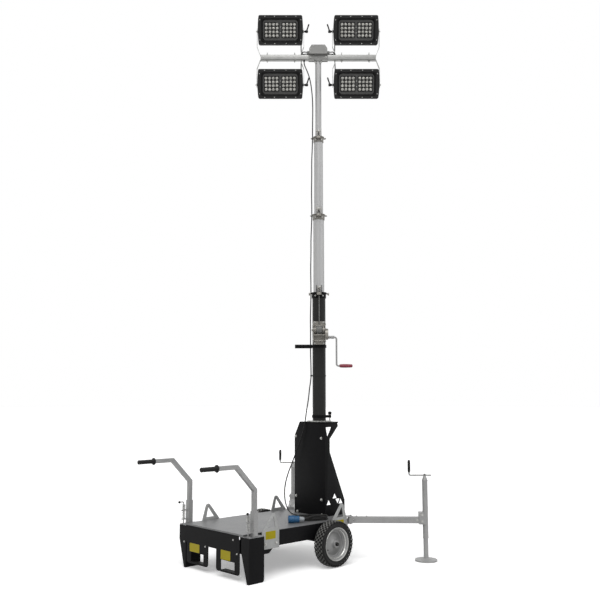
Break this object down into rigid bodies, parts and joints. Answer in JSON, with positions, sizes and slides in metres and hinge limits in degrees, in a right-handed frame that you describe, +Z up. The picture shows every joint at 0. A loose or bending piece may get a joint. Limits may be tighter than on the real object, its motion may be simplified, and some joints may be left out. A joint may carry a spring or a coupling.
{
  "type": "mobile light tower",
  "caption": "Hand trolley with a deck, a turning telescopic mast with floodlights on a crossbar, a hand winch, push handles and swing-out jack stabilisers.",
  "frame": {"origin": "on the ground, under the middle of the tower's box", "axes": "+Z up, +X from the push handles towards the wheels, +Y to the trolley's left seen from the handles looking at the mast"},
  "size_m": [2.3454, 2.0233, 5.443],
  "materials": {
    "galvanised_deck": "matt galvanised",
    "zinc_steel": "satin zinc",
    "black_steel": "satin black",
    "mast_aluminium": "satin",
    "grey_aluminium": "satin",
    "lamp_grey": "fine textured",
    "black_plastic": "matt",
    "black_rubber": "matt",
    "tyre_rubber": "matt",
    "rim_grey": "satin grey",
    "black_cable": "matt",
    "steel_rope": "bright",
    "blue_plastic": "gloss"
  },
  "bodies": {
    "trolley": {"deck": "galvanised_deck", "corner_legs": "black_steel", "apron": "black_steel", "side_plates": "black_steel", "axle": "zinc_steel", "lifting_eyes": "zinc_steel", "mast_stand": "black_steel", "index_ring": "zinc_steel", "arm_brackets": "zinc_steel", "cable_coil": "black_cable", "cable_tail": "black_cable", "plug": "blue_plastic", "cable_lower": "black_cable"},
    "wheel_left": {"tyre_left": "tyre_rubber", "rim_left": "rim_grey"},
    "wheel_right": {"tyre_right": "tyre_rubber", "rim_right": "rim_grey"},
    "handle_left": {"handle_left": "zinc_steel", "handle_grip_left": "black_rubber", "handle_latch_left": "zinc_steel"},
    "handle_right": {"handle_right": "zinc_steel", "handle_grip_right": "black_rubber", "handle_latch_right": "zinc_steel"},
    "mast": {"mast_tube": "black_steel", "collar_0": "zinc_steel", "winch": "zinc_steel", "winch_crank": "zinc_steel", "turning_bar": "black_rubber", "index_plunger": "zinc_steel", "wire_rope": "steel_rope", "cable_clip": "zinc_steel", "cable_0": "black_cable"},
    "section_1": {"section_1": "mast_aluminium", "collar_1": "zinc_steel", "cable_1": "black_cable"},
    "section_2": {"section_2": "mast_aluminium", "collar_2": "zinc_steel", "cable_2": "black_cable"},
    "section_3": {"section_3": "mast_aluminium", "crossbar": "mast_aluminium", "junction_box": "grey_aluminium", "lamp_yokes": "zinc_steel", "lamp_levers": "black_plastic", "cable_3": "black_cable", "lead_1": "black_cable", "lead_2": "black_cable", "lead_3": "black_cable", "lead_4": "black_cable"},
    "lamp_1": {"lamp_1": "lamp_grey"},
    "lamp_2": {"lamp_2": "lamp_grey"},
    "lamp_3": {"lamp_3": "lamp_grey"},
    "lamp_4": {"lamp_4": "lamp_grey"},
    "arm_left": {"arm_left": "zinc_steel", "jack_tube_left": "zinc_steel", "jack_crank_left": "zinc_steel"},
    "leg_left": {"jack_leg_left": "zinc_steel"},
    "arm_right": {"arm_right": "zinc_steel", "jack_tube_right": "zinc_steel", "jack_crank_right": "zinc_steel"},
    "leg_right": {"jack_leg_right": "zinc_steel"}
  },
  "joints": [
    {"name": "wheel_left_spin", "type": "hinge", "parent": "trolley", "child": "wheel_left", "pos_m": [0.27533, 0.49, 0.2], "axis": [0, 1, 0], "continuous": true},
    {"name": "wheel_right_spin", "type": "hinge", "parent": "trolley", "child": "wheel_right", "pos_m": [0.27533, -0.49, 0.2], "axis": [0, 1, 0], "continuous": true},
    {"name": "handle_left_swing", "type": "hinge", "parent": "trolley", "child": "handle_left", "pos_m": [-0.62567, 0.459, 0.47], "axis": [0, 0, 1], "range_deg": [-180, 0]},
    {"name": "handle_right_swing", "type": "hinge", "parent": "trolley", "child": "handle_right", "pos_m": [-0.62567, -0.459, 0.47], "axis": [0, 0, 1], "range_deg": [0, 180]},
    {"name": "mast_turn", "type": "hinge", "parent": "trolley", "child": "mast", "pos_m": [0.58233, 0, 1.258], "axis": [0, 0, 1], "range_deg": [-216.8, 123.2], "deforming": ["cable_lower"]},
    {"name": "section_1_slide", "type": "slide", "parent": "mast", "child": "section_1", "axis": [0, 0, 1], "range_m": [-0.62, 0.7], "deforming": ["cable_1"]},
    {"name": "section_2_slide", "type": "slide", "parent": "section_1", "child": "section_2", "axis": [0, 0, 1], "range_m": [-0.62, 0.7], "deforming": ["cable_2"]},
    {"name": "section_3_slide", "type": "slide", "parent": "section_2", "child": "section_3", "axis": [0, 0, 1], "range_m": [-0.62, 0.7], "deforming": ["cable_3"]},
    {"name": "lamp_1_tilt", "type": "hinge", "parent": "section_3", "child": "lamp_1", "pos_m": [0.29512, 0.26971, 5.299], "axis": [-0.729, 0.6845, 0], "range_deg": [-70, 60], "deforming": ["lead_1"]},
    {"name": "lamp_2_tilt", "type": "hinge", "parent": "section_3", "child": "lamp_2", "pos_m": [0.86955, -0.26971, 5.299], "axis": [-0.729, 0.6845, 0], "range_deg": [-70, 60], "deforming": ["lead_2"]},
    {"name": "lamp_3_tilt", "type": "hinge", "parent": "section_3", "child": "lamp_3", "pos_m": [0.29512, 0.26971, 4.715], "axis": [-0.729, 0.6845, 0], "range_deg": [-70, 60], "deforming": ["lead_3"]},
    {"name": "lamp_4_tilt", "type": "hinge", "parent": "section_3", "child": "lamp_4", "pos_m": [0.86955, -0.26971, 4.715], "axis": [-0.729, 0.6845, 0], "range_deg": [-70, 60], "deforming": ["lead_4"]},
    {"name": "arm_left_swing", "type": "hinge", "parent": "trolley", "child": "arm_left", "pos_m": [0.57944, 0.41354, 0.367], "axis": [0, 0, 1], "range_deg": [-45, 30]},
    {"name": "arm_right_swing", "type": "hinge", "parent": "trolley", "child": "arm_right", "pos_m": [0.57944, -0.41354, 0.367], "axis": [0, 0, 1], "range_deg": [-30, 45]},
    {"name": "leg_left_slide", "type": "slide", "parent": "arm_left", "child": "leg_left", "axis": [0, 0, 1], "range_m": [-0.12, 0.15]},
    {"name": "leg_right_slide", "type": "slide", "parent": "arm_right", "child": "leg_right", "axis": [0, 0, 1], "range_m": [-0.12, 0.15]}
  ],
  "couplings": [
    {"joint": "section_2_slide", "follows": "section_1_slide", "ratio": 1},
    {"joint": "section_3_slide", "follows": "section_1_slide", "ratio": 1}
  ]
}
